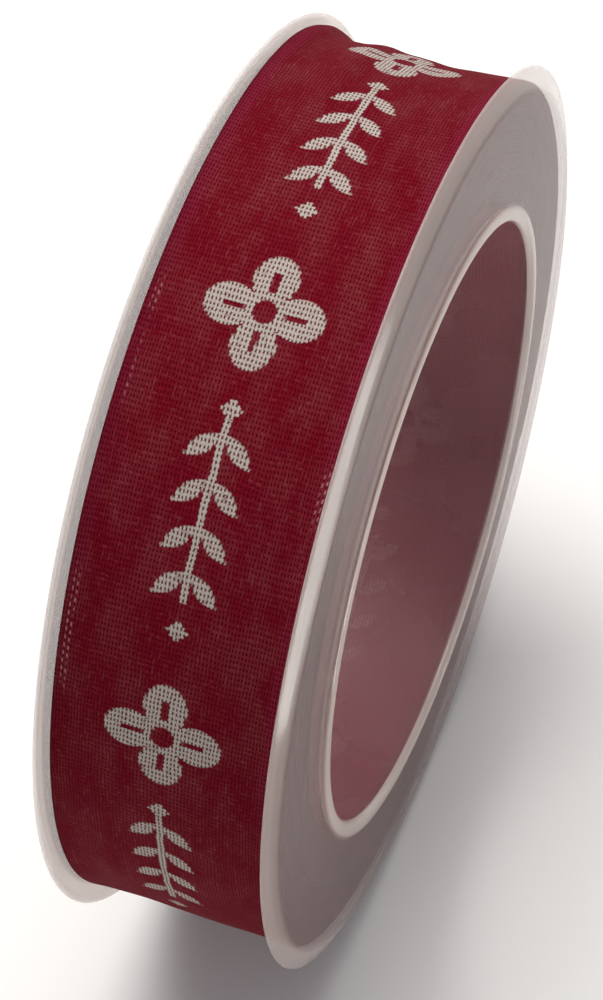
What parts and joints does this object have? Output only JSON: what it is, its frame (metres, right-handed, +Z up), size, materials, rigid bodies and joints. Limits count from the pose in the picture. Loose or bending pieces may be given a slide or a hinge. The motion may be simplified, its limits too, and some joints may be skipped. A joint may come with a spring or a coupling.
{
  "type": "roll of ribbon",
  "caption": "Roll of dark red woven ribbon with a pale printed motif, wound on a milky plastic spool that has bevelled rims, flat flanges and a wide lipped bore.",
  "frame": {"origin": "middle of the base, on the surface the rims stand on, under the centre of the roll", "axes": "+X along the spool's axis, from the left flange to the right one; +Z up; -Y towards the viewer"},
  "size_m": [0.028, 0.105, 0.1049],
  "materials": {
    "ribbon": "open plain weave, dark red, with crimson selvages and an off-white printed flower and sprig repeat",
    "core": "thin milky translucent plastic through which the ribbon shows",
    "spool": "milky warm grey moulded plastic, satin, with faint turned lines"
  },
  "bodies": {
    "root": {"ribbon_roll": "ribbon", "core_tube": "core", "flange_right": "spool", "flange_left": "spool"}
  },
  "joints": []
}
